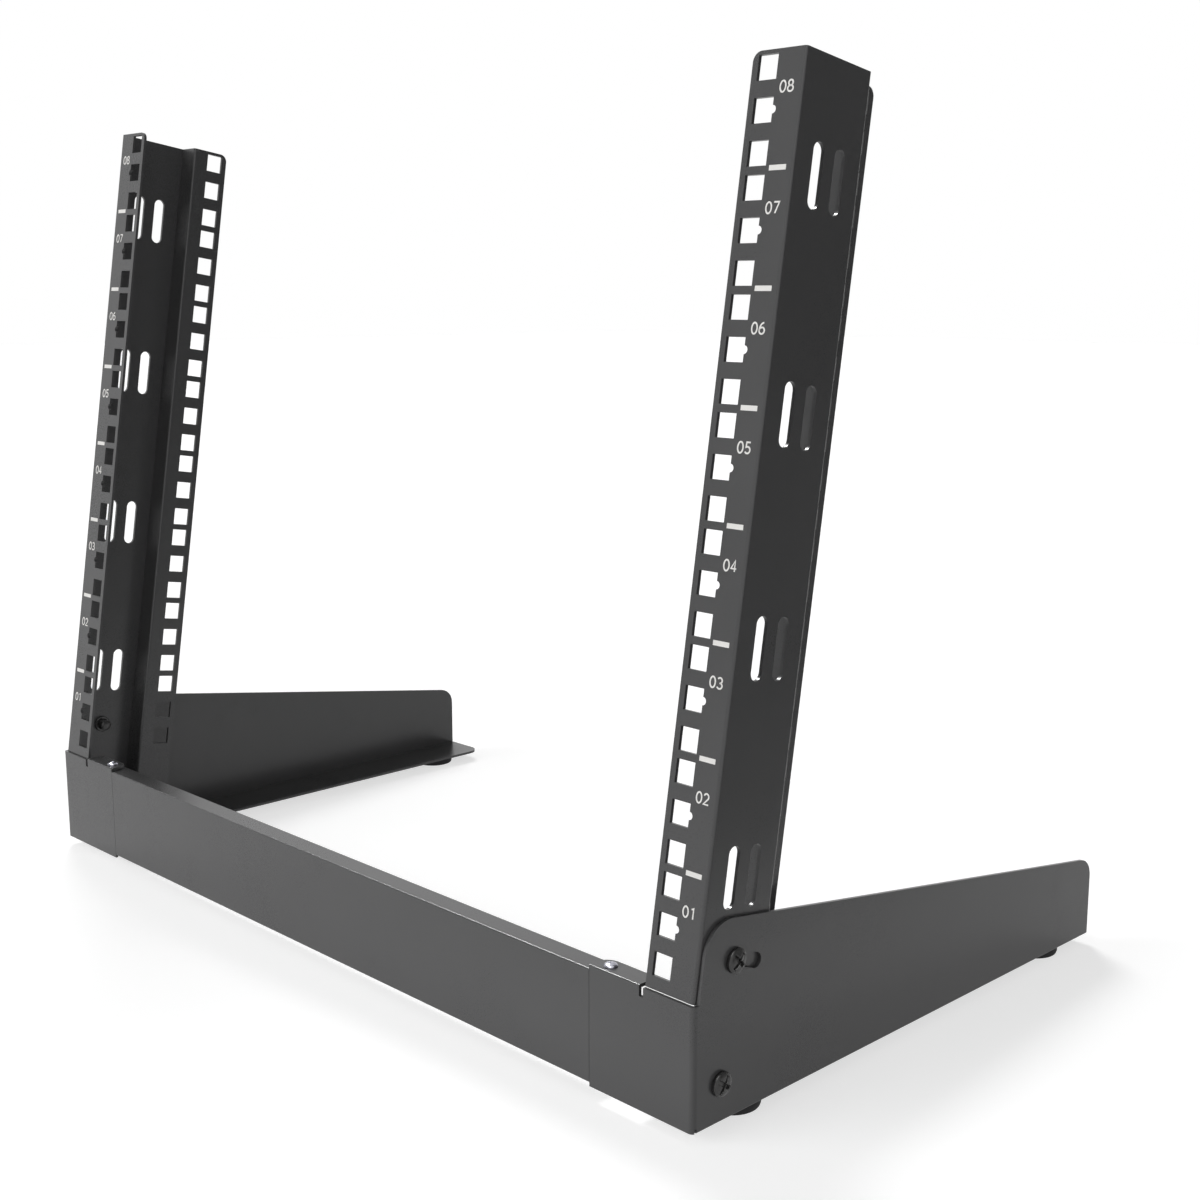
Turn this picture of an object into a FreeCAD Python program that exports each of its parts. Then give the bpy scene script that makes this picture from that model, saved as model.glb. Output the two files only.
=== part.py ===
import FreeCAD, Part
import math
import os
import Sketcher

# Desktop two post open frame rack, eight units high, made of folded sheet steel.
# X runs along the width with the right post at +X, Y runs from front to back and Z is up.
# The origin is at floor level, in the middle of the base's width and of its depth.

doc = FreeCAD.newDocument("two_post_rack")
sheet = doc.addObject("Spreadsheet::Sheet", "Sizes")

# Driving dimensions in millimetres and degrees, one cell each
SIZES = {
    # Rack standard: units, square holes and the clear width between the posts
    "unit_height": 44.45,
    "unit_count": 8,
    "first_hole_rise": 6.35,
    "hole_pitch": 15.875,
    "hole_side": 9.5,
    "opening_width": 450.0,
    "hole_row_inset": 7.55,
    "notch_radius": 1.6,
    # Post: front flange, web, inward step and rear strip of one folded sheet
    "post_sheet": 1.5,
    "post_flange": 25.4,
    "web_depth": 40.0,
    "strip_inset": 14.9,
    "post_depth": 60.0,
    "rear_hole_edge": 7.7,
    "post_bend": 1.3,
    "post_corner_radius": 4.0,
    "flange_drop": 3.75,
    "strip_drop": 25.0,
    "tab_half_width": 8.8,
    "tab_round": 8.0,
    "tab_neck": 14.0,
    # Cable slots in the web, one row at every second unit line
    "slot_width": 6.4,
    "slot_length": 25.0,
    "slot_front_place": 13.8,
    "slot_rear_place": 26.6,
    # Lean of the posts and the two screws that hold each of them
    "lean_angle": 9.0,
    "tilt_travel": 15.0,
    "pivot_depth": 19.7,
    "pivot_drop": 37.2,
    "tilt_screw_reach": 49.2,
    "pivot_setback": 15.7,
    "pivot_rise": 16.2,
    "post_gap": 0.2,
    # Base: side brackets with front return, top flange and bottom flange
    "base_sheet": 1.5,
    "base_depth": 294.0,
    "return_height": 52.75,
    "return_reach": 57.1,
    "lip_drop": 0.75,
    "corner_bend": 2.3,
    "fold_bend": 0.6,
    "bend_land": 0.3,
    "relief_width": 2.2,
    "relief_depth": 4.7,
    "corner_relief": 1.0,
    "top_flange_depth": 10.4,
    "top_flange_end": 29.1,
    "flange_end_radius": 6.3,
    "bottom_flange": 31.0,
    "flange_corner_radius": 8.0,
    # Upright edges of the side plate, square to the posts: ahead of and above their screws
    "plate_edge_lead": 18.1,
    "plate_top_margin": 17.1,
    "shoulder_radius": 14.2,
    "tail_corner_radius": 10.3,
    # Crossbar between the brackets, with tongues that lap under their top flanges
    "crossbar_lap": 17.5,
    "lap_gap": 0.3,
    "seam_gap": 0.2,
    "tongue_setback": 2.0,
    # Rubber feet under the bottom flanges
    "foot_height": 5.0,
    "foot_radius": 12.5,
    "foot_chamfer": 0.8,
    "foot_inset": 14.5,
    "front_foot_place": 38.6,
    "rear_foot_place": 266.1,
    # Screws that hold the posts, with clinch nuts in the webs
    "screw_radius": 3.0,
    "screw_clearance": 0.2,
    "screw_reach": 9.0,
    "pan_radius": 5.2,
    "pan_height": 2.6,
    "pan_chamfer": 0.9,
    "thread_gap": 0.05,
    "head_gap": 0.1,
    "nut_radius": 4.6,
    "nut_height": 1.6,
    # Small dome screws through the top flanges, near the free ends of the returns
    "dome_inset": 7.4,
    "dome_setback": 4.9,
    "dome_radius": 3.0,
    "dome_height": 1.7,
    "dome_chamfer": 1.2,
    "dome_shank": 1.25,
    "dome_reach": 6.0,
    "hex_flats": 5.0,
    "hex_height": 2.0,
}


class Size:
    """A length or angle that carries its value and the expression that binds it to the sheet."""

    def __init__(self, value, text):
        self.value = value
        self.text = text

    def joined(self, other, sign, value):
        other = as_size(other)
        return Size(value, "(" + self.text + " " + sign + " " + other.text + ")")

    def __add__(self, other):
        return self.joined(other, "+", self.value + as_size(other).value)

    def __sub__(self, other):
        return self.joined(other, "-", self.value - as_size(other).value)

    def __mul__(self, other):
        return self.joined(other, "*", self.value * as_size(other).value)

    def __truediv__(self, other):
        return self.joined(other, "/", self.value / as_size(other).value)

    def __neg__(self):
        return self * -1

    def __radd__(self, other):
        return as_size(other) + self

    def __rsub__(self, other):
        return as_size(other) - self

    def __rmul__(self, other):
        return as_size(other) * self


def as_size(value):
    if isinstance(value, Size):
        return value
    return Size(float(value), repr(float(value)))


def sine(angle):
    return Size(math.sin(math.radians(angle.value)), "sin(" + angle.text + " * 1 deg)")


def cosine(angle):
    return Size(math.cos(math.radians(angle.value)), "cos(" + angle.text + " * 1 deg)")


def tangent(angle):
    return Size(math.tan(math.radians(angle.value)), "tan(" + angle.text + " * 1 deg)")


def write_sheet():
    for row, (name, value) in enumerate(SIZES.items(), start=1):
        cell = "B" + str(row)
        sheet.set("A" + str(row), name)
        sheet.set(cell, repr(value))
        sheet.setAlias(cell, name)
    doc.recompute()


write_sheet()


def size(name):
    return Size(float(sheet.get(name)), "Sizes." + name)


# Places that several pieces share
lean = size("lean_angle")
post_half = size("opening_width") / 2 + size("post_flange")
base_half = post_half + size("post_gap") + size("base_sheet")
front = -size("base_depth") / 2
rear = size("base_depth") / 2
plate_bottom = size("foot_height")
return_top = plate_bottom + size("return_height")
lip_top = return_top - size("lip_drop")
bend_stub = size("base_sheet") + size("bend_land")
return_end = base_half - size("return_reach")
dome_x = return_end + size("dome_inset")
dome_y = front + size("dome_setback")
dome_hole = size("dome_shank") + size("thread_gap")

pivot_y = front + size("pivot_setback")
pivot_z = plate_bottom + size("pivot_rise")
screw_hole = size("screw_radius") + size("screw_clearance")


def bind(item, **sizes):
    for name, expression in sizes.items():
        item.setExpression(name, as_size(expression).text)


def new_body(name):
    body = doc.addObject("PartDesign::Body", name)
    body.Label = name
    return body


def plane_of(body, role):
    return next(f for f in body.Origin.OriginFeatures if f.Role == role)


def new_sketch(body, name, role, offset=0.0):
    """A sketch on one of the body's origin planes, moved along that plane's normal by offset."""
    sketch = body.newObject("Sketcher::SketchObject", name)
    sketch.AttachmentSupport = [(plane_of(body, role), "")]
    sketch.MapMode = "FlatFace"
    bind(sketch, **{"AttachmentOffset.Base.z": offset})
    return sketch


def place_point(sketch, geometry, point, u=None, v=None):
    """Tie a point of the sketch to places measured from its origin."""
    for kind, place in (("DistanceX", u), ("DistanceY", v)):
        if place is not None:
            place = as_size(place)
            number = sketch.addConstraint(
                Sketcher.Constraint(kind, -1, 1, geometry, point, place.value))
            sketch.setExpression("Constraints[" + str(number) + "]", place.text)


def set_radius(sketch, geometry, radius):
    number = sketch.addConstraint(Sketcher.Constraint("Radius", geometry, radius.value))
    sketch.setExpression("Constraints[" + str(number) + "]", radius.text)


def add_polygon(sketch, points):
    """A closed outline whose corners are all placed from the sheet."""
    first = sketch.GeometryCount
    count = len(points)
    places = [FreeCAD.Vector(as_size(u).value, as_size(v).value, 0) for u, v in points]
    for index in range(count):
        sketch.addGeometry(Part.LineSegment(places[index], places[(index + 1) % count]))
    for index in range(count):
        following = first + (index + 1) % count
        sketch.addConstraint(Sketcher.Constraint("Coincident", first + index, 2, following, 1))
    for index, (u, v) in enumerate(points):
        place_point(sketch, first + index, 1, u, v)


def add_circle(sketch, u, v, radius):
    u, v = as_size(u), as_size(v)
    centre = FreeCAD.Vector(u.value, v.value, 0)
    circle = sketch.addGeometry(Part.Circle(centre, FreeCAD.Vector(0, 0, 1), radius.value))
    place_point(sketch, circle, 3, u, v)
    set_radius(sketch, circle, radius)


def rectangle(left, low, right, high):
    return [(left, low), (right, low), (right, high), (left, high)]


def pad(body, sketch, length, reverse=False):
    feature = body.newObject("PartDesign::Pad", sketch.Name + "_pad")
    feature.Profile = sketch
    bind(feature, Length=length)
    feature.Reversed = reverse
    sketch.Visibility = False
    doc.recompute()
    return feature


def pocket_through(body, sketch):
    """Cut the sketch's outline right through the body, both ways."""
    before = body.Shape.Volume
    feature = body.newObject("PartDesign::Pocket", sketch.Name + "_pocket")
    feature.Profile = sketch
    feature.SideType = "Symmetric"
    feature.Type = "ThroughAll"
    doc.recompute()
    if not body.Shape.Volume < before:
        raise RuntimeError(sketch.Name + " cuts nothing")
    return feature


def edges_on_line(shape, axis, behind=None, **place):
    """Names of the straight edges parallel to axis that lie at the given coordinates."""
    names = []
    for index, edge in enumerate(shape.Edges, start=1):
        if edge.Curve.TypeId != "Part::GeomLine":
            continue
        if abs(abs(edge.Curve.Direction.dot(axis)) - 1) > 1e-6:
            continue
        middle = edge.CenterOfMass
        if behind is not None and middle.y < behind.value:
            continue
        if all(abs(getattr(middle, key) - as_size(at).value) < 1e-4 for key, at in place.items()):
            names.append("Edge" + str(index))
    return names


def fillet(body, name, edges, radius):
    if not edges:
        raise RuntimeError(name + " finds no edge")
    base = body.Tip
    feature = body.newObject("PartDesign::Fillet", name)
    feature.Base = (base, edges)
    bind(feature, Radius=radius)
    doc.recompute()
    return feature


def chamfer(body, name, edges, width):
    if not edges:
        raise RuntimeError(name + " finds no edge")
    base = body.Tip
    feature = body.newObject("PartDesign::Chamfer", name)
    feature.Base = (base, edges)
    bind(feature, Size=width)
    doc.recompute()
    return feature


def rows(body, features, count, length, name):
    """Repeat the features up the body at equal steps."""
    pattern = body.newObject("PartDesign::LinearPattern", name)
    pattern.Originals = features
    pattern.Direction = (plane_of(body, "Z_Axis"), [""])
    bind(pattern, Length=length, Occurrences=count)
    body.Tip = pattern
    doc.recompute()
    return pattern


def pocket_depth(body, sketch, depth):
    """Cut the sketch's outline to a depth, against the normal of its plane."""
    before = body.Shape.Volume
    feature = body.newObject("PartDesign::Pocket", sketch.Name + "_pocket")
    feature.Profile = sketch
    bind(feature, Length=depth)
    doc.recompute()
    if not body.Shape.Volume < before:
        raise RuntimeError(sketch.Name + " cuts nothing")
    return feature


def add_arc(sketch, u, v, radius, start, end):
    centre = FreeCAD.Vector(u.value, v.value, 0)
    circle = Part.Circle(centre, FreeCAD.Vector(0, 0, 1), radius.value)
    return sketch.addGeometry(Part.ArcOfCircle(circle, math.radians(start), math.radians(end)))


def add_slot(sketch, u, v, length, width):
    """An upright slot with round ends, centred on u, v."""
    u, v = as_size(u), as_size(v)
    radius = width / 2
    reach = (length - width) / 2
    upper = add_arc(sketch, u, v + reach, radius, 0, 180)
    lower = add_arc(sketch, u, v - reach, radius, 180, 360)
    low, high = (v - reach).value, (v + reach).value
    sides = []
    for shift, ends in ((-radius.value, (high, low)), (radius.value, (low, high))):
        points = [FreeCAD.Vector(u.value + shift, end, 0) for end in ends]
        sides.append(sketch.addGeometry(Part.LineSegment(*points)))
    left, right = sides
    for first, second in (((upper, 2), (left, 1)), ((left, 2), (lower, 1)),
                          ((lower, 2), (right, 1)), ((right, 2), (upper, 1))):
        sketch.addConstraint(Sketcher.Constraint("Tangent", *first, *second))
    place_point(sketch, upper, 3, u, v + reach)
    place_point(sketch, lower, 3, u, v - reach)
    set_radius(sketch, upper, radius)
    set_radius(sketch, lower, radius)


def add_curved_slot(sketch, u, v, reach, half_width, first_lean, last_lean):
    """A slot that follows a circle about u, v, between two leans from upright."""
    u, v = as_size(u), as_size(v)
    outer, inner = reach + half_width, reach - half_width
    begin, end = 90 - last_lean.value, 90 - first_lean.value
    arcs = {}
    for radius in (outer, inner):
        arc = add_arc(sketch, u, v, radius, begin, end)
        place_point(sketch, arc, 3, u, v)
        set_radius(sketch, arc, radius)
        place_point(sketch, arc, 1, u + radius * sine(last_lean))
        place_point(sketch, arc, 2, u + radius * sine(first_lean))
        arcs[radius is outer] = arc
    for lean_here, at_first in ((first_lean, True), (last_lean, False)):
        centre = (u + reach * sine(lean_here), v + reach * cosine(lean_here))
        turn = 90 - lean_here.value
        if at_first:
            cap = add_arc(sketch, *centre, half_width, turn, turn + 180)
            ends = ((arcs[True], 2), (arcs[False], 2))
        else:
            cap = add_arc(sketch, *centre, half_width, turn + 180, turn + 360)
            ends = ((arcs[False], 1), (arcs[True], 1))
        for point, (arc, arc_point) in enumerate(ends, start=1):
            sketch.addConstraint(Sketcher.Constraint("Coincident", cap, point, arc, arc_point))
        place_point(sketch, cap, 3, centre[0])


# How far cutting outlines reach past the piece they trim
OVERRUN = 5.0
side_names = {1: "right", -1: "left"}
x_axis = FreeCAD.Vector(1, 0, 0)
y_axis = FreeCAD.Vector(0, 1, 0)
z_axis = FreeCAD.Vector(0, 0, 1)


def make_post(side):
    """One folded sheet: front flange with square holes, web, step inward and rear strip."""
    name = side_names[side] + "_post"
    body = new_body(name)
    gauge = size("post_sheet")
    flange_edge = side * size("opening_width") / 2
    web_out = side * post_half
    web_in = side * (post_half - gauge)
    strip_in = side * (post_half - size("strip_inset"))
    strip_out = side * (post_half - size("strip_inset") + gauge)
    front_y = -size("pivot_depth")
    step_y = front_y + size("web_depth")
    rear_y = front_y + size("post_depth")
    low_z = -size("tab_half_width")
    unit_z = size("pivot_drop")
    top_z = unit_z + size("unit_count") * size("unit_height")

    section = new_sketch(body, name + "_section", "XY_Plane", low_z)
    add_polygon(section, [
        (flange_edge, front_y), (web_out, front_y), (web_out, step_y), (strip_out, step_y),
        (strip_out, rear_y), (strip_in, rear_y), (strip_in, step_y - gauge),
        (web_in, step_y - gauge), (web_in, front_y + gauge), (flange_edge, front_y + gauge)])
    pad(body, section, top_z - low_z)

    shape = body.Shape
    outside = (edges_on_line(shape, z_axis, x=web_out, y=front_y)
               + edges_on_line(shape, z_axis, x=web_out, y=step_y)
               + edges_on_line(shape, z_axis, x=strip_in, y=step_y - gauge))
    fillet(body, name + "_bends", outside, size("post_bend"))

    below = new_sketch(body, name + "_lower_trim", "YZ_Plane")
    half = size("tab_half_width")
    flange_z = unit_z - size("flange_drop")
    add_polygon(below, [
        (front_y - OVERRUN, flange_z), (front_y + size("post_bend") + size("bend_land"), flange_z),
        (-half, unit_z - size("tab_neck")), (-half, low_z - OVERRUN),
        (front_y - OVERRUN, low_z - OVERRUN)])
    strip_z = unit_z - size("strip_drop")
    add_polygon(below, rectangle(half, low_z - OVERRUN, rear_y + OVERRUN, strip_z))
    pocket_through(body, below)

    shape = body.Shape
    tab = (edges_on_line(shape, x_axis, y=-half, z=low_z)
           + edges_on_line(shape, x_axis, y=half, z=low_z))
    fillet(body, name + "_tab_round", tab, size("tab_round"))
    shape = body.Shape
    corners = (edges_on_line(shape, y_axis, x=flange_edge, z=top_z)
               + edges_on_line(shape, x_axis, y=rear_y, z=top_z))
    fillet(body, name + "_top_corners", corners, size("post_corner_radius"))

    slots = new_sketch(body, name + "_slots", "YZ_Plane")
    for place in ("slot_front_place", "slot_rear_place"):
        add_slot(slots, front_y + size(place), unit_z + size("unit_height"),
                 size("slot_length"), size("slot_width"))
    slot_cut = pocket_through(body, slots)
    pairs = size("unit_count") / 2
    rows(body, [slot_cut], pairs, (pairs - 1) * 2 * size("unit_height"), name + "_slot_rows")

    screws = new_sketch(body, name + "_screw_holes", "YZ_Plane")
    add_circle(screws, 0, 0, screw_hole)
    add_circle(screws, 0, size("tilt_screw_reach"), screw_hole)
    pocket_through(body, screws)

    climb = (size("unit_count") - 1) * size("unit_height")
    hole_half = size("hole_side") / 2
    strip_holes = new_sketch(body, name + "_strip_holes", "YZ_Plane")
    hole_y = rear_y - size("rear_hole_edge")
    for step in range(3):
        z = unit_z + size("first_hole_rise") + step * size("hole_pitch")
        add_polygon(strip_holes, rectangle(hole_y - hole_half, z - hole_half,
                                           hole_y + hole_half, z + hole_half))
    strip_cut = pocket_through(body, strip_holes)
    rows(body, [strip_cut], size("unit_count"), climb, name + "_strip_rows")

    rail_holes = new_sketch(body, name + "_rail_holes", "XZ_Plane", -front_y + OVERRUN)
    hole_x = side * (size("opening_width") / 2 + size("hole_row_inset"))
    for step in range(3):
        z = unit_z + size("first_hole_rise") + step * size("hole_pitch")
        add_polygon(rail_holes, rectangle(hole_x - hole_half, z - hole_half,
                                          hole_x + hole_half, z + hole_half))
    rail_cut = pocket_depth(body, rail_holes, OVERRUN + 2 * gauge)
    notches = new_sketch(body, name + "_notches", "XZ_Plane", -front_y + OVERRUN)
    middle_z = unit_z + size("first_hole_rise") + size("hole_pitch")
    add_circle(notches, hole_x + side * hole_half, middle_z, size("notch_radius"))
    notch_cut = pocket_depth(body, notches, OVERRUN + 2 * gauge)
    rows(body, [rail_cut, notch_cut], size("unit_count"), climb, name + "_rail_rows")

    body.Placement.Rotation = FreeCAD.Rotation(x_axis, -lean.value)
    bind(body, **{"Placement.Base.y": pivot_y, "Placement.Base.z": pivot_z,
                  "Placement.Rotation.Angle": -lean})
    return body


def make_bracket(side):
    """One folded sheet: side plate, front return, top flange on the return, bottom flange."""
    name = side_names[side] + "_side_bracket"
    body = new_body(name)
    gauge = size("base_sheet")
    out_x = side * base_half
    in_x = side * (base_half - gauge)
    return_x = side * return_end
    back_y = front + gauge
    lead = size("plate_edge_lead")
    corner_reach = size("tilt_screw_reach") + size("plate_top_margin")
    corner_y = pivot_y - lead * cosine(lean) + corner_reach * sine(lean)
    corner_z = pivot_z + lead * sine(lean) + corner_reach * cosine(lean)
    edge_y = corner_y - (corner_z - lip_top) * tangent(lean)
    tail_z = corner_z - (rear - corner_y) * tangent(lean)

    section = new_sketch(body, name + "_section", "XY_Plane", plate_bottom)
    add_polygon(section, [(return_x, front), (out_x, front), (out_x, rear), (in_x, rear),
                          (in_x, back_y), (return_x, back_y)])
    pad(body, section, corner_z - plate_bottom)
    fillet(body, name + "_corner_outside", edges_on_line(body.Shape, z_axis, x=out_x, y=front),
           size("corner_bend"))
    fillet(body, name + "_corner_inside", edges_on_line(body.Shape, z_axis, x=in_x, y=back_y),
           size("corner_bend") - gauge)

    outline = new_sketch(body, name + "_side_trim", "YZ_Plane")
    add_polygon(outline, [
        (edge_y, lip_top), (corner_y, corner_z), (rear, tail_z), (rear + OVERRUN, tail_z),
        (rear + OVERRUN, corner_z + OVERRUN), (front - OVERRUN, corner_z + OVERRUN),
        (front - OVERRUN, lip_top)])
    flange_start = front + size("corner_bend")
    add_polygon(outline, rectangle(flange_start - size("corner_relief"), plate_bottom - OVERRUN,
                                   rear + OVERRUN, plate_bottom + bend_stub))
    pocket_through(body, outline)

    face = new_sketch(body, name + "_return_trim", "XZ_Plane")
    flange_x = side * (base_half - size("top_flange_end"))
    relief_x = side * (base_half - size("top_flange_end") + size("relief_width"))
    beyond_x = return_x - side * OVERRUN
    add_polygon(face, [
        (beyond_x, return_top - bend_stub), (flange_x, return_top - bend_stub),
        (flange_x, return_top - size("relief_depth")),
        (relief_x, return_top - size("relief_depth")), (relief_x, lip_top),
        (in_x, lip_top), (in_x, corner_z + OVERRUN), (beyond_x, corner_z + OVERRUN)])
    pocket_through(body, face)

    foot = new_sketch(body, name + "_bottom_flange", "XZ_Plane", -rear)
    edge_x = side * (base_half - size("bottom_flange"))
    add_polygon(foot, [
        (out_x, plate_bottom), (out_x, plate_bottom + bend_stub),
        (in_x, plate_bottom + bend_stub), (in_x, plate_bottom + gauge),
        (edge_x, plate_bottom + gauge), (edge_x, plate_bottom)])
    pad(body, foot, rear - flange_start)
    low_x, high_x = (return_x, flange_x) if side > 0 else (flange_x, return_x)
    head = new_sketch(body, name + "_top_flange", "YZ_Plane", low_x)
    flange_y = front + size("top_flange_depth")
    add_polygon(head, [
        (front, return_top - bend_stub), (front, return_top), (flange_y, return_top),
        (flange_y, return_top - gauge), (back_y, return_top - gauge),
        (back_y, return_top - bend_stub)])
    pad(body, head, high_x - low_x)

    fillet(body, name + "_folds",
           edges_on_line(body.Shape, y_axis, behind=flange_start, x=out_x, z=plate_bottom)
           + edges_on_line(body.Shape, x_axis, y=front, z=return_top), size("fold_bend"))
    fillet(body, name + "_shoulder", edges_on_line(body.Shape, x_axis, y=corner_y, z=corner_z),
           size("shoulder_radius"))
    fillet(body, name + "_tail", edges_on_line(body.Shape, x_axis, y=rear, z=tail_z),
           size("tail_corner_radius"))
    fillet(body, name + "_flange_corner", edges_on_line(body.Shape, z_axis, x=edge_x, y=rear),
           size("flange_corner_radius"))
    fillet(body, name + "_flange_end", edges_on_line(body.Shape, z_axis, x=return_x, y=flange_y),
           size("flange_end_radius"))

    holes = new_sketch(body, name + "_pivot_hole", "YZ_Plane")
    add_circle(holes, pivot_y, pivot_z, screw_hole)
    pocket_through(body, holes)
    slot = new_sketch(body, name + "_tilt_slot", "YZ_Plane")
    add_curved_slot(slot, pivot_y, pivot_z, size("tilt_screw_reach"), screw_hole,
                    lean, lean + size("tilt_travel"))
    pocket_through(body, slot)
    dome = new_sketch(body, name + "_dome_hole", "XY_Plane", return_top + OVERRUN)
    add_circle(dome, side * dome_x, dome_y, dome_hole)
    pocket_depth(body, dome, OVERRUN + 2 * gauge)
    return body


def make_crossbar():
    """A folded channel flush with the front returns; its top flange laps under theirs."""
    name = "front_crossbar"
    body = new_body(name)
    gauge = size("base_sheet")
    reach = return_end + size("crossbar_lap")
    end_x = return_end - size("seam_gap")
    back_y = front + gauge
    lip_y = front + size("top_flange_depth")
    low_z = plate_bottom + gauge
    top_z = return_top - gauge - size("lap_gap")
    section = new_sketch(body, name + "_section", "YZ_Plane", -reach)
    add_polygon(section, [
        (lip_y, low_z), (front, low_z), (front, top_z), (lip_y, top_z), (lip_y, top_z - gauge),
        (back_y, top_z - gauge), (back_y, low_z + gauge), (lip_y, low_z + gauge)])
    pad(body, section, reach * 2)
    fillet(body, name + "_folds",
           edges_on_line(body.Shape, x_axis, y=front, z=top_z)
           + edges_on_line(body.Shape, x_axis, y=front, z=low_z), size("fold_bend"))

    ends = new_sketch(body, name + "_web_ends", "XZ_Plane")
    add_polygon(ends, rectangle(end_x, low_z - OVERRUN, reach + OVERRUN, top_z - gauge))
    add_polygon(ends, rectangle(-reach - OVERRUN, low_z - OVERRUN, -end_x, top_z - gauge))
    pocket_through(body, ends)
    tongues = new_sketch(body, name + "_tongue_fronts", "XY_Plane")
    tongue_y = front + size("tongue_setback")
    add_polygon(tongues, rectangle(end_x, front - OVERRUN, reach + OVERRUN, tongue_y))
    add_polygon(tongues, rectangle(-reach - OVERRUN, front - OVERRUN, -end_x, tongue_y))
    pocket_through(body, tongues)

    holes = new_sketch(body, name + "_dome_holes", "XY_Plane", top_z + OVERRUN)
    for side in (1, -1):
        add_circle(holes, side * dome_x, dome_y, dome_hole)
    pocket_depth(body, holes, OVERRUN + 2 * gauge)
    return body


def turned(body, name, points, role="XZ_Plane"):
    """A solid of revolution about the upright axis of the body, from half of its section."""
    sketch = new_sketch(body, name + "_section", role)
    add_polygon(sketch, points)
    feature = body.newObject("PartDesign::Revolution", name + "_turned")
    feature.Profile = sketch
    feature.ReferenceAxis = (sketch, ["V_Axis"])
    feature.Angle = 360
    doc.recompute()
    return feature


def circles_at(shape, radius, z):
    names = []
    for index, edge in enumerate(shape.Edges, start=1):
        if edge.Curve.TypeId != "Part::GeomCircle":
            continue
        if abs(edge.Curve.Radius - radius.value) > 1e-4:
            continue
        if abs(edge.Curve.Center.z - z.value) < 1e-4:
            names.append("Edge" + str(index))
    return names


def make_foot(name, x, y):
    """A round rubber foot under a bottom flange."""
    body = new_body(name)
    radius, height = size("foot_radius"), size("foot_height")
    turned(body, name, rectangle(as_size(0), as_size(0), radius, height))
    chamfer(body, name + "_chamfer", circles_at(body.Shape, radius, as_size(0)),
            size("foot_chamfer"))
    bind(body, **{"Placement.Base.x": x, "Placement.Base.y": y})
    return body


def make_screw(name, head, head_height, shank, reach, slope):
    """A round-headed screw that stands on its shank, head up, seated at its own origin."""
    body = new_body(name)
    turned(body, name, [
        (as_size(0), -reach), (shank, -reach), (shank, as_size(0)), (head, as_size(0)),
        (head, head_height), (as_size(0), head_height)])
    chamfer(body, name + "_crown", circles_at(body.Shape, head, head_height), slope)
    return body


def make_ring_nut(name, outer, bore, height):
    """A round clinch nut pressed into the web."""
    body = new_body(name)
    turned(body, name, rectangle(bore, -height, outer, as_size(0)))
    return body


def make_hex_nut(name, flats, bore, height):
    body = new_body(name)
    sketch = new_sketch(body, name + "_section", "XY_Plane")
    across = flats / 2
    corner = across / cosine(as_size(30))
    add_polygon(sketch, [
        (corner, as_size(0)), (corner / 2, across), (-corner / 2, across),
        (-corner, as_size(0)), (-corner / 2, -across), (corner / 2, -across)])
    add_circle(sketch, 0, 0, bore)
    pad(body, sketch, height, reverse=True)
    return body


def stand_on_side(body, side, x, reach_z):
    """Turn an upright fastener so that its axis points out of the side, on the post's line."""
    body.Placement.Rotation = FreeCAD.Rotation(y_axis, side * 90)
    bind(body, **{"Placement.Base.x": side * x,
                  "Placement.Base.y": pivot_y + reach_z * sine(lean),
                  "Placement.Base.z": pivot_z + reach_z * cosine(lean)})


nodes = []
for side in (1, -1):
    nodes.append(make_post(side))
    nodes.append(make_bracket(side))
nodes.append(make_crossbar())

for side in (1, -1):
    foot_x = side * (base_half - size("foot_inset"))
    for end, place in (("front", "front_foot_place"), ("rear", "rear_foot_place")):
        foot_name = end + "_" + side_names[side] + "_foot"
        nodes.append(make_foot(foot_name, foot_x, front + size(place)))

for side in (1, -1):
    for job, reach_z in (("pivot", as_size(0)), ("tilt", size("tilt_screw_reach"))):
        screw = make_screw(side_names[side] + "_" + job + "_screw", size("pan_radius"),
                           size("pan_height"), size("screw_radius"), size("screw_reach"),
                           size("pan_chamfer"))
        stand_on_side(screw, side, base_half + size("head_gap"), reach_z)
        nut = make_ring_nut(side_names[side] + "_" + job + "_nut", size("nut_radius"),
                            size("screw_radius") + size("thread_gap"), size("nut_height"))
        stand_on_side(nut, side, post_half - size("post_sheet"), reach_z)
        nodes += [screw, nut]
    dome = make_screw(side_names[side] + "_dome_screw", size("dome_radius"), size("dome_height"),
                      size("dome_shank"), size("dome_reach"), size("dome_chamfer"))
    bind(dome, **{"Placement.Base.x": side * dome_x, "Placement.Base.y": dome_y,
                  "Placement.Base.z": return_top})
    nut_seat = return_top - 2 * size("base_sheet") - size("lap_gap") - size("head_gap")
    hex_nut = make_hex_nut(side_names[side] + "_dome_nut", size("hex_flats"), dome_hole,
                           size("hex_height"))
    bind(hex_nut, **{"Placement.Base.x": side * dome_x, "Placement.Base.y": dome_y,
                     "Placement.Base.z": nut_seat})
    nodes += [dome, hex_nut]

doc.recompute()
for item in doc.Objects:
    if "Invalid" in item.State or "Error" in item.State:
        raise RuntimeError(item.Name + " failed to compute")
for node in nodes:
    if node.Shape.isNull() or not node.Shape.isValid() or len(node.Shape.Solids) != 1:
        raise RuntimeError(node.Label + " isn't one valid solid")

os.makedirs("parts", exist_ok=True)
for node in nodes:
    node.Shape.exportStep("parts/" + node.Label + ".step")
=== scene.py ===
import math

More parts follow.
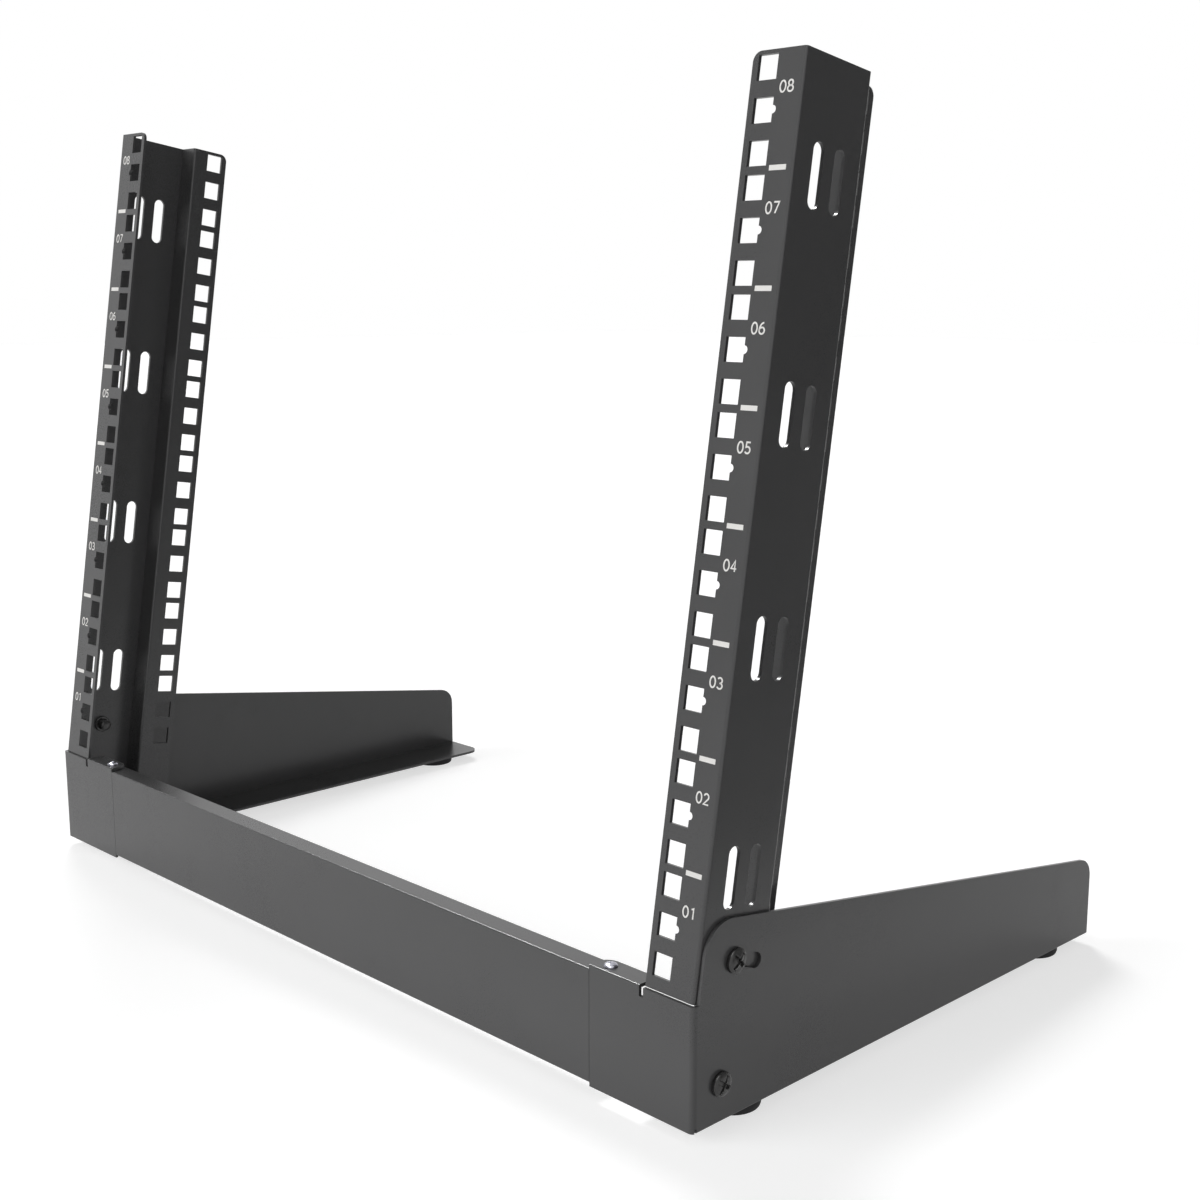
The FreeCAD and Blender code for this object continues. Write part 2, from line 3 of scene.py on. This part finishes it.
import bpy
import numpy as np
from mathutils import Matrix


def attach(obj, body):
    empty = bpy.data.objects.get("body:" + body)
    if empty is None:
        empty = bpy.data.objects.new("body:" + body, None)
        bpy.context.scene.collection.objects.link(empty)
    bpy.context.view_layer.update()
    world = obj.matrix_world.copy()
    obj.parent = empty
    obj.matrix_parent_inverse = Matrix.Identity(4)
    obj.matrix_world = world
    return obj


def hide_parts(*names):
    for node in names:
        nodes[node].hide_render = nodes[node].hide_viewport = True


# Desktop two post open frame rack: finishes, screws, nuts, feet and printed unit marks.
# Lengths are in millimetres until a mesh is made, and X is width, Y depth and Z height.

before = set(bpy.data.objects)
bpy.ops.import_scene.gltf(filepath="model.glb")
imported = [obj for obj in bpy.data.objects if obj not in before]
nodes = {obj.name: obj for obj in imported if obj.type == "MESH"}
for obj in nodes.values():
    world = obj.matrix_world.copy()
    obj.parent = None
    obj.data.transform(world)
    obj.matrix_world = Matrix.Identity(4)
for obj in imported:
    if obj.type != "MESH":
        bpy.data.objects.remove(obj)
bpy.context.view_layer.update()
TURN = 2 * math.pi

# Sizes shared with the folded sheet parts. The pivot lies PIVOT_DEPTH behind the post's front
# face and PIVOT_DROP below the lowest unit.
UNIT = 44.45
LEAN = math.radians(9.0)
PIVOT = np.array([0.0, -131.3, 21.2])
PIVOT_DEPTH = 19.7
PIVOT_DROP = 37.2
TILT_REACH = 49.2
POST_HALF = 250.4
PLATE_HALF = 252.1
SHEET = 1.5
HEAD_GAP = 0.1
LAP_GAP = 0.3
FLANGE_TOP = 57.75
DOME_PLACE = (202.4, -142.1)
FOOT_PLACE = (237.6, (-108.4, 119.1))
SIDES = {"right": 1, "left": -1}


# Meshes

def smoothstep(low, high, value):
    """3t² - 2t³ with t the share of the way from low to high."""
    share = np.clip((value - low) / (high - low), 0, 1)
    return share * share * (3 - 2 * share)


def make_piece(name, points, faces, finish, smooth=True):
    """An object at the origin whose mesh holds the points, turned from millimetres to metres."""
    mesh = bpy.data.meshes.new(name)
    mesh.from_pydata((np.asarray(points) / 1000).tolist(), [], faces)
    mesh.polygons.foreach_set("use_smooth", np.full(len(mesh.polygons), smooth))
    mesh.materials.append(finish)
    mesh.update()
    piece = bpy.data.objects.new(name, mesh)
    bpy.context.scene.collection.objects.link(piece)
    return piece


def band_faces(rows, count, closed=False):
    """Quads between neighbouring rows of a grid whose columns run all the way round."""
    row = np.arange(rows if closed else rows - 1)[:, None]
    column = np.arange(count)[None, :]
    after, above = (column + 1) % count, (row + 1) % rows
    corners = [row * count + column, row * count + after,
               above * count + after, above * count + column]
    return np.stack(np.broadcast_arrays(*corners), axis=-1).reshape(-1, 4).tolist()


def capped(grid):
    """Points and faces of a grid closed at both ends by a fan about the middle of its end rows."""
    rows, count = grid.shape[:2]
    points = np.vstack([grid.reshape(-1, 3), grid[0].mean(0), grid[-1].mean(0)])
    column = np.arange(count)
    after = (column + 1) % count
    low = np.stack([np.full(count, rows * count), after, column], axis=-1)
    top = (rows - 1) * count
    high = np.stack([np.full(count, rows * count + 1), top + column, top + after], axis=-1)
    return points, band_faces(rows, count) + low.tolist() + high.tolist()


def around(radius, height, count):
    """A grid turned about the upright axis: x = r cos t, y = r sin t, z = h, t once round.

    Radius and height hold one value per row of the grid, or one per row and column."""
    turn = np.arange(count) * TURN / count
    radius, height = (np.reshape(values, (len(values), -1)) * np.ones(count)
                      for values in (radius, height))
    return np.stack([radius * np.cos(turn), radius * np.sin(turn), height], axis=-1)


def stood_on_side(points, side, x, reach):
    """Local up turned to point out of that side, at a place on the post's line above the pivot."""
    local_x, local_y, local_z = np.moveaxis(points, -1, 0)
    turned = np.stack([side * local_z, local_y, -side * local_x], axis=-1)
    place = PIVOT + reach * np.array([0, math.sin(LEAN), math.cos(LEAN)])
    return turned + place + np.array([side * x, 0, 0])


def on_post(x, depth, height):
    """Part frame places of points given across, behind the front face and above the first unit."""
    back, rise = depth - PIVOT_DEPTH, height + PIVOT_DROP
    y = PIVOT[1] + back * math.cos(LEAN) + rise * math.sin(LEAN)
    z = PIVOT[2] - back * math.sin(LEAN) + rise * math.cos(LEAN)
    return np.stack(np.broadcast_arrays(x, y, z), axis=-1)


# Finishes

class Signal:
    """An output socket of a shader tree that takes part in sums and products."""

    def __init__(self, socket):
        self.socket = socket

    def maths(self, operation, *values):
        """A maths node of that operation on numbers or signals."""
        tree = self.socket.id_data
        node = tree.nodes.new("ShaderNodeMath")
        node.operation = operation
        for entry, value in zip(node.inputs, values):
            if isinstance(value, Signal):
                tree.links.new(value.socket, entry)
            else:
                entry.default_value = value
        return Signal(node.outputs[0])

    def __add__(self, other):
        return self.maths("ADD", self, other)

    def __sub__(self, other):
        return self.maths("SUBTRACT", self, other)

    def __rsub__(self, other):
        return self.maths("SUBTRACT", other, self)

    def __mul__(self, other):
        return self.maths("MULTIPLY", self, other)

    def __truediv__(self, other):
        return self.maths("DIVIDE", self, other)

    __radd__ = __add__
    __rmul__ = __mul__


class Finish:
    """A material built from one Principled shader and the patterns that feed it."""

    def __init__(self, name, **constants):
        self.material = bpy.data.materials.new(name)
        self.material.use_nodes = True
        self.tree = self.material.node_tree
        self.shader = self.tree.nodes["Principled BSDF"]
        for socket, value in constants.items():
            self.shader.inputs[socket.replace("_", " ")].default_value = value

    def node(self, kind, settings=None, output=0, **sockets):
        """A node of that kind: its settings first, then its sockets' values or links."""
        made = self.tree.nodes.new(kind)
        for key, value in (settings or {}).items():
            setattr(made, key, value)
        for key, value in sockets.items():
            entry = made.inputs[key.replace("_", " ")]
            if isinstance(value, Signal):
                self.tree.links.new(value.socket, entry)
            else:
                entry.default_value = value
        return Signal(made.outputs[output])

    def place(self):
        """Object coordinates of the piece that wears the finish."""
        return self.node("ShaderNodeTexCoord", output="Object")

    def noise(self, scale, detail=2.0, roughness=0.5):
        """A cloudy pattern from 0 to 1 with that many cells in a metre."""
        return self.node("ShaderNodeTexNoise", output="Fac", Vector=self.place(), Scale=scale,
                         Detail=detail, Roughness=roughness)

    def blend(self, amount, first, second):
        """A colour part of the way from the first to the second."""
        mixed = self.node("ShaderNodeMix", {"data_type": "RGBA"}, output=2, Factor=amount)
        colours = mixed.socket.node.inputs[6:8]
        for entry, colour in zip(colours, (first, second)):
            entry.default_value = (*colour, 1)
        return mixed

    def feed(self, socket, signal):
        """Link a signal to the shader."""
        self.tree.links.new(signal.socket, self.shader.inputs[socket])

    def relief(self, height, distance):
        """Small bumps: the height signal, from 0 to 1, over that distance in metres."""
        self.feed("Normal", self.node("ShaderNodeBump", Height=height, Distance=distance,
                                      Strength=1.0))


def powder_coat():
    """Satin black powder coat: a fine pebbled skin over a broad, faint unevenness of tone."""
    coat = Finish("black_powder_coat", Specular_IOR_Level=0.45)
    broad = coat.noise(14.0, detail=3.0)
    pebble = coat.noise(1500.0, detail=2.0, roughness=0.6)
    speck = coat.noise(3400.0, detail=1.0)
    coat.feed("Base Color", coat.blend(broad * 0.7 + speck * 0.3, (0.044, 0.044, 0.045),
                                       (0.068, 0.068, 0.069)))
    coat.feed("Roughness", 0.23 + broad * 0.06 + speck * 0.05)
    coat.relief(pebble * 0.7 + speck * 0.3, 0.00003)
    return coat.material


def blackened_screw():
    """Black zinc on steel: dark, half glossy, with a faint brown cast and fine scratches."""
    black = Finish("black_zinc", Metallic=0.2)
    haze = black.noise(260.0, detail=4.0)
    grit = black.noise(5200.0)
    black.feed("Base Color", black.blend(haze, (0.026, 0.026, 0.026), (0.056, 0.055, 0.054)))
    black.feed("Roughness", 0.16 + haze * 0.14)
    black.relief(grit, 0.000012)
    return black.material


def bright_nickel():
    """Polished nickel with a soft haze."""
    bright = Finish("bright_nickel", Metallic=1.0)
    haze = bright.noise(700.0, detail=3.0)
    bright.feed("Base Color", bright.blend(haze, (0.3, 0.3, 0.34), (0.42, 0.42, 0.47)))
    bright.feed("Roughness", 0.2 + haze * 0.12)
    bright.relief(bright.noise(4200.0), 0.000006)
    return bright.material


def black_rubber():
    """Matt moulded rubber with a dusty bloom."""
    rubber = Finish("black_rubber", Specular_IOR_Level=0.35)
    bloom = rubber.noise(160.0, detail=4.0)
    rubber.feed("Base Color", rubber.blend(bloom, (0.016, 0.016, 0.017), (0.034, 0.034, 0.035)))
    rubber.feed("Roughness", 0.62 + bloom * 0.2)
    rubber.relief(rubber.noise(2600.0, detail=3.0), 0.00005)
    return rubber.material


def white_ink():
    """Screen printed white ink, a little uneven where it was drawn over the pebbled coat."""
    ink = Finish("white_ink", Specular_IOR_Level=0.4)
    drag = ink.noise(2400.0, detail=3.0)
    ink.feed("Base Color", ink.blend(drag, (0.62, 0.61, 0.59), (0.74, 0.73, 0.71)))
    ink.feed("Roughness", 0.45 + drag * 0.15)
    ink.relief(drag, 0.00001)
    return ink.material


coat, screw_black, nickel = powder_coat(), blackened_screw(), bright_nickel()
rubber, ink = black_rubber(), white_ink()
for name, node in nodes.items():
    finish = coat
    if "foot" in name:
        finish = rubber
    elif "dome" in name:
        finish = nickel
    elif "screw" in name or "nut" in name:
        finish = screw_black
    node.data.materials.clear()
    node.data.materials.append(finish)


# Screws and nuts

def thread(turn, height, pitch, depth, low, high):
    """Depth below the crest: a triangle wave of height / pitch less the share of a turn, faded
    out at both ends."""
    wave = np.abs(((height / pitch - turn / TURN) % 1.0) * 2 - 1)
    fade = smoothstep(low, low + pitch, height) * (1 - smoothstep(high - pitch, high, height))
    return depth * wave * fade


def pan_screw(name, side, reach, spin):
    """Cross-recess pan head on a threaded shank.

    The head's top is an ellipse, z = edge + crown sqrt(1 - (r / R)²), drawn down along a cross of
    two bars to a flat floor just above the head's underside."""
    head, edge, crown, shank, length = 5.2, 1.2, 1.4, 3.0, 9.0
    pitch, groove, floor, end = 1.0, 0.32, 0.3, 3
    count, shank_rows, crown_rows = 144, 96, 52
    turn = np.arange(count) * TURN / count
    bend = np.linspace(TURN / 4, 0.02, crown_rows)
    shank_z = np.linspace(-length, -0.3, shank_rows)
    shank_z[0] = -length + 0.5
    rows_r = np.concatenate([[0.4, 2.2, 2.55], np.full(shank_rows, shank), [head - 0.15, head],
                             [head], head * np.sin(bend)])
    rows_z = np.concatenate([[-length, -length, -length + 0.3], shank_z, [0.0, 0.15],
                             [edge], edge + crown * np.cos(bend)])
    radius = np.tile(rows_r[:, None], (1, count))
    height = np.tile(rows_z[:, None], (1, count))
    threaded = slice(end, end + shank_rows)
    radius[threaded] -= thread(turn[None, :], height[threaded], pitch, groove, -length, 0.6)
    across, along = radius * np.cos(turn - spin), radius * np.sin(turn - spin)
    top = np.arange(len(rows_r))[:, None] >= len(rows_r) - crown_rows
    bars = 0
    for u, v in ((across, along), (along, across)):
        wall = 1 - smoothstep(0.78, 0.92, np.abs(u))
        bars = np.maximum(bars, wall * (1 - smoothstep(3.4, 4.0, np.abs(v))))
    height = height + top * bars * (floor - height)
    grid = around(radius, height, count)
    points, faces = capped(stood_on_side(grid, side, PLATE_HALF + HEAD_GAP, reach))
    return make_piece(name, points, faces, screw_black)


def ring(profile, count, swell=0.0, teeth=0):
    """A closed ring: the profile's loop of (r, z) turned about the axis. Where the profile is
    widest the radius is r + swell (1 + cos(teeth t)) / 2."""
    radius, height = np.array(profile, float).T
    turn = np.arange(count) * TURN / count
    rim = (radius > radius.max() - 0.05)[:, None]
    wide = radius[:, None] + rim * swell * (0.5 + 0.5 * np.cos(teeth * turn))
    return around(wide, height, count), band_faces(len(profile), count, closed=True)


def clinch_nut(name, side, reach):
    """Round nut pressed into the web: an eight-sided profile turned about its axis, whose rim
    swells and shrinks 24 times in a turn."""
    bore, rim, depth, cut = 3.05, 4.5, 1.6, 0.25
    profile = [(bore + cut, 0.0), (bore, -cut), (bore, -depth + cut), (bore + cut, -depth),
               (rim - cut, -depth), (rim, -depth + cut), (rim, -cut), (rim - cut, 0.0)]
    grid, faces = ring(profile[::-1], 96, swell=0.1, teeth=24)
    points = stood_on_side(grid, side, POST_HALF - SHEET, reach).reshape(-1, 3)
    return make_piece(name, points, faces, screw_black, smooth=False)


def dome_screw(name, side):
    """Button head z = h sqrt(1 - (r / R)²) with a six-sided socket, on a threaded shank."""
    head, edge, tall, shank, length = 3.0, 0.15, 1.55, 1.25, 6.0
    pitch, groove, socket, end = 0.45, 0.16, 1.3, 2
    count, shank_rows, crown_rows = 120, 64, 44
    turn = np.arange(count) * TURN / count
    bend = np.linspace(TURN / 4, 0.02, crown_rows)
    rows_r = np.concatenate([[0.3, 1.0], np.full(shank_rows, shank), [head - 0.1, head],
                             head * np.sin(bend)])
    rows_z = np.concatenate([[-length, -length], np.linspace(-length + 0.25, -0.1, shank_rows),
                             [0.0, 0.06], edge + tall * np.cos(bend)])
    radius = np.tile(rows_r[:, None], (1, count))
    height = np.tile(rows_z[:, None], (1, count))
    threaded = slice(end, end + shank_rows)
    radius[threaded] -= thread(turn[None, :], height[threaded], pitch, groove, -length, 0.3)
    sixth = TURN / 6
    flat = radius * np.cos((turn % sixth) - sixth / 2)
    top = np.arange(len(rows_r))[:, None] >= len(rows_r) - crown_rows
    height = height - top * socket * (1 - smoothstep(0.68, 0.78, flat))
    place = np.array([side * DOME_PLACE[0], DOME_PLACE[1], FLANGE_TOP])
    points, faces = capped(around(radius, height, count) + place)
    return make_piece(name, points, faces, nickel)


def hex_nut(name, side):
    """Hexagon a / cos(t) between chamfers that cut its corners, with a plain bore."""
    flats, bore, tall, cut, count = 5.0, 1.3, 2.0, 0.25, 96
    turn = np.arange(count) * TURN / count
    sixth = TURN / 6
    hexagon = flats / 2 / np.cos(((turn + sixth / 2) % sixth) - sixth / 2)
    face = np.minimum(hexagon, flats / 2)
    rows = [(bore, 0.0), (bore, -tall), (face, -tall), (hexagon, -tall + cut),
            (hexagon, -cut), (face, 0.0)]
    grid = around([np.broadcast_to(radius, count) for radius, _ in rows],
                  [height for _, height in rows], count)
    nut_top = FLANGE_TOP - 2 * SHEET - LAP_GAP - HEAD_GAP
    points = (grid + np.array([side * DOME_PLACE[0], DOME_PLACE[1], nut_top])).reshape(-1, 3)
    return make_piece(name, points, band_faces(len(rows), count, closed=True), nickel,
                      smooth=False)


def rubber_foot(name, x, y):
    """Moulded foot: a turned outline with a hollow underneath. Its lower edge is a quarter of an
    ellipse, r = 11.5 + 0.8 sin(a) and z = soft (1 - cos(a))."""
    wide, tall, hollow, soft = 12.5, 5.0, 2.6, 0.9
    bend = np.linspace(0, TURN / 4, 8)
    under = [(0.3, hollow), (4.2, hollow), (4.5, hollow - 0.3), (5.0, 0.1)]
    edge = zip(11.5 + 0.8 * np.sin(bend), soft - soft * np.cos(bend))
    above = [(wide, 1.4), (wide, tall - 0.5), (wide - 0.4, tall), (0.3, tall)]
    radius, height = np.array([*under, *edge, *above]).T
    points, faces = capped(around(radius, height, 96) + np.array([x, y, 0.0]))
    return make_piece(name, points, faces, rubber)


for side_name, side in SIDES.items():
    upright = side_name + "_upright"
    for job, reach, spin in (("pivot", 0.0, 0.95), ("tilt", TILT_REACH, 0.75)):
        screw = pan_screw(f"{side_name}_{job}_cross_screw", side, reach, spin * side)
        nut = clinch_nut(f"{side_name}_{job}_fluted_nut", side, reach)
        for piece, part in ((screw, "screw"), (nut, "nut")):
            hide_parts(f"{side_name}_{job}_{part}")
            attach(piece, upright)
    dome = dome_screw(side_name + "_socket_dome", side)
    nut = hex_nut(side_name + "_chamfered_nut", side)
    for piece, part in ((dome, "screw"), (nut, "nut")):
        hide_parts(f"{side_name}_dome_{part}")
        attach(piece, "base")
    for end, y in zip(("front", "rear"), FOOT_PLACE[1]):
        foot = rubber_foot(f"{end}_{side_name}_moulded_foot", side * FOOT_PLACE[0], y)
        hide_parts(f"{end}_{side_name}_foot")
        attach(foot, "base")


# Printed unit marks

def arc(x, y, wide, tall, start, end, count=28):
    """Points of an ellipse about x, y between two angles in degrees."""
    turn = np.radians(np.linspace(start, end, count))
    return np.stack([x + wide * np.cos(turn), y + tall * np.sin(turn)], axis=-1)


def run(*corners):
    """Points of a stroke made of straight lines."""
    return np.array(corners, float)


def bowl(*lines):
    """One stroke that follows several lines in turn."""
    return np.concatenate(lines)


# Places and sizes of the print on the flange, from the middle of the part and the lowest unit
FIGURE_X, FIGURE_Z, LEFT_DROP = 242.95, 30.3, 0.7
FIGURE_APART, FIGURE_HALF, STROKE_HALF = 1.83, (1.3, 2.08), 0.33
TICK_X, TICK_Z, TICK_HALF = (239.0, 247.1), 0.62, 1.0
INK_THICK = 0.04

# Strokes of each figure in a box from -1 to 1 both ways
FIGURES = {
    "0": [arc(0, 0, 1, 1, 0, 360, 48)],
    "1": [run((-0.55, 0.72), (0.2, 1), (0.2, -1))],
    "2": [bowl(arc(0, 0.42, 0.88, 0.58, 165, -35), run((-0.95, -1), (1, -1)))],
    "3": [bowl(arc(-0.1, 0.5, 0.85, 0.5, 150, -80), arc(-0.1, -0.48, 1.0, 0.52, 80, -155))],
    "4": [run((0.4, -1), (0.4, 1), (-1, -0.45), (1, -0.45))],
    "5": [bowl(run((0.85, 1), (-0.55, 1), (-0.7, 0.1)), arc(-0.1, -0.4, 0.95, 0.6, 115, -150))],
    "6": [bowl(arc(0.75, -0.35, 1.7, 1.35, 95, 180), arc(0, -0.42, 0.95, 0.58, 180, 540, 44))],
    "7": [run((-0.95, 1), (0.95, 1), (-0.35, -1))],
    "8": [arc(0, 0.52, 0.78, 0.48, 270, 630, 40), arc(0, -0.48, 0.98, 0.52, 90, 450, 40)],
}


def ink_line(path, half_width, closed):
    """Left and right edges of a path: its points moved half a width along the mitred normal."""
    if closed:
        path = path[:-1]
        before, after = np.roll(path, 1, axis=0), np.roll(path, -1, axis=0)
    else:
        before, after = np.vstack([path[:1], path[:-1]]), np.vstack([path[1:], path[-1:]])
    arrive, leave = path - before, after - path
    if not closed:
        arrive[0], leave[-1] = leave[0], arrive[-1]
    arrive /= np.linalg.norm(arrive, axis=1, keepdims=True)
    leave /= np.linalg.norm(leave, axis=1, keepdims=True)
    normal = np.stack([-(arrive + leave)[:, 1], (arrive + leave)[:, 0]], axis=-1)
    normal /= np.linalg.norm(normal, axis=1, keepdims=True)
    square = np.stack([-arrive[:, 1], arrive[:, 0]], axis=-1)
    stretch = np.minimum(1 / np.maximum((normal * square).sum(1, keepdims=True), 0.4), 1.6)
    return path + normal * stretch * half_width, path - normal * stretch * half_width


def film(left, right, thick, closed):
    """A thin plate on the flange between two edges, as a tube of four corners per station."""
    depths = ((left, -thick), (right, -thick), (right, 0.0), (left, 0.0))
    grid = np.stack([on_post(edge[:, 0], depth, edge[:, 1]) for edge, depth in depths], axis=1)
    if closed:
        return grid.reshape(-1, 3), band_faces(len(left), 4, closed=True)
    rows = len(left)
    ends = [[3, 2, 1, 0], [rows * 4 - 4, rows * 4 - 3, rows * 4 - 2, rows * 4 - 1]]
    return grid.reshape(-1, 3), band_faces(rows, 4) + ends


def rail_print(name, side):
    """White unit lines at the outer edge of the flange and a two-figure number for each unit.

    Each stroke is a flat band: its path moved half a stroke to either side, and raised by the
    thickness of the ink."""
    points, faces = [], []

    def lay(left, right, closed):
        more, quads = film(left, right, INK_THICK, closed)
        start = sum(len(group) for group in points)
        points.append(more)
        faces.extend([[corner + start for corner in quad] for quad in quads])

    for unit in range(1, 9):
        unit_foot = (unit - 1) * UNIT
        for place, figure in zip((-FIGURE_APART, FIGURE_APART), f"{unit:02d}"):
            centre = np.array([side * FIGURE_X + place,
                               unit_foot + FIGURE_Z - LEFT_DROP * (side < 0)])
            for stroke in FIGURES[figure]:
                path = stroke * np.array(FIGURE_HALF) + centre
                closed = bool(np.allclose(path[0], path[-1]))
                left, right = ink_line(path, STROKE_HALF, closed)
                lay(left, right, closed)
        if unit > 1:
            ends = np.sort([side * x for x in TICK_X])
            line = np.stack([ends, np.full(2, unit_foot + TICK_Z)], axis=-1)
            rise = np.array([0, TICK_HALF])
            lay(line + rise, line - rise, False)
    return make_piece(name, np.vstack(points), faces, ink, smooth=False)


for side_name, side in SIDES.items():
    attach(rail_print(side_name + "_rail_print", side), side_name + "_upright")


# Studio, in metres

FLOOR_GREY, FLOOR_SEEN, FLOOR_MIRRORED = 0.52, 0.64, 0.56
AMBIENT = 0.2


def stage_sheet(name, corners, material):
    """A flat quad that belongs to the studio."""
    sheet = make_piece(name, np.array(corners, float) * 1000, [[0, 1, 2, 3]], material)
    return sheet


def white_floor():
    """A pale matt floor that shows white to the camera and in reflections and keeps shadows."""
    pale = Finish("pale_floor")
    tree = pale.tree
    seen = pale.node("ShaderNodeLightPath", output="Is Camera Ray")
    mirrored = pale.node("ShaderNodeLightPath", output="Is Glossy Ray")
    through = pale.node("ShaderNodeLightPath", output="Is Transmission Ray")
    level = seen * FLOOR_SEEN + (mirrored + through) * FLOOR_MIRRORED
    matt = pale.node("ShaderNodeBsdfDiffuse", Color=(FLOOR_GREY, FLOOR_GREY, FLOOR_GREY, 1))
    glow = pale.node("ShaderNodeEmission", Strength=level)
    both = tree.nodes.new("ShaderNodeAddShader")
    tree.links.new(matt.socket, both.inputs[0])
    tree.links.new(glow.socket, both.inputs[1])
    tree.links.new(both.outputs[0], tree.nodes["Material Output"].inputs["Surface"])
    tree.nodes.remove(pale.shader)
    return pale.material


def reflection_flag(name, corners, low, high, graded=0.3):
    """A matt card, shaded from one grey at the floor to another at the graded height, seen in
    reflections alone and casting no shadow."""
    cloth = Finish(name + "_cloth", Roughness=1.0, Specular_IOR_Level=0.0)
    rise = cloth.node("ShaderNodeSeparateXYZ", output="Z", Vector=cloth.place()) / graded
    rise = rise.maths("MINIMUM", rise, 1.0)
    cloth.feed("Base Color", cloth.blend(rise, (low, low, low), (high, high, high)))
    flag = stage_sheet(name, corners, cloth.material)
    flag.visible_camera = flag.visible_diffuse = flag.visible_shadow = False


stage_sheet("studio_floor", [(-9, -9, 0), (9, -9, 0), (9, 9, 0), (-9, 9, 0)], white_floor())
reflection_flag("side_flag", [(0.42, -0.1, 0), (0.42, 4.2, 0), (0.42, 4.2, 2.6),
                              (0.42, -0.1, 2.6)], low=0.4, high=0.14)
reflection_flag("front_flag", [(-2.3, -2.0, 0.02), (0.6, -2.0, 0.02), (0.6, -2.0, 2.2),
                               (-2.3, -2.0, 2.2)], low=0.6, high=0.6)

world = bpy.data.worlds.new("studio")
bpy.context.scene.world = world
world.use_nodes = True
tree = world.node_tree
backdrop = tree.nodes["Background"]
path = tree.nodes.new("ShaderNodeLightPath")
seen = Signal(path.outputs["Is Camera Ray"]) + Signal(path.outputs["Is Glossy Ray"])
seen = seen + Signal(path.outputs["Is Transmission Ray"])
strength = seen.maths("MINIMUM", seen, 1.0) * (1 - AMBIENT) + AMBIENT
tree.links.new(strength.socket, backdrop.inputs["Strength"])
backdrop.inputs["Color"].default_value = (1, 1, 1, 1)


def soft_sun(name, toward, level, spread, gloss):
    """Parallel light from that direction; level 1 lights a white sheet that faces it to white.
    It lights either gloss alone or everything but gloss."""
    data = bpy.data.lights.new(name, "SUN")
    data.energy, data.angle = level * math.pi, math.radians(spread)
    lamp = bpy.data.objects.new(name, data)
    x, y, z = toward
    lamp.rotation_euler = (math.acos(z / math.sqrt(x * x + y * y + z * z)), 0,
                           math.atan2(y, x) + TURN / 4)
    lamp.visible_glossy, lamp.visible_diffuse = gloss, not gloss
    bpy.context.scene.collection.objects.link(lamp)


soft_sun("front_light", (-0.4, -0.88, 0.25), level=0.92, spread=50, gloss=False)
soft_sun("side_light", (0.88, -0.35, 0.2), level=0.24, spread=50, gloss=False)
soft_sun("top_light", (-0.6, 0.35, 0.72), level=0.5, spread=20, gloss=False)
soft_sun("edge_gloss", (-0.6, 0.1, 0.79), level=1.5, spread=18, gloss=True)
soft_sun("dome_gloss", (0.17, -0.48, 0.86), level=0.8, spread=44, gloss=True)

camera_data = bpy.data.cameras.new("camera")
camera_data.sensor_width, camera_data.lens = 36, 50.0165
camera = bpy.data.objects.new("camera", camera_data)
camera.location = (0.65058, -0.58611, 0.32434)
camera.rotation_euler = [math.radians(angle) for angle in (79.4763, 0.0157, 45.6506)]
bpy.context.scene.collection.objects.link(camera)
bpy.context.scene.camera = camera
bpy.context.scene.view_settings.view_transform = "Standard"
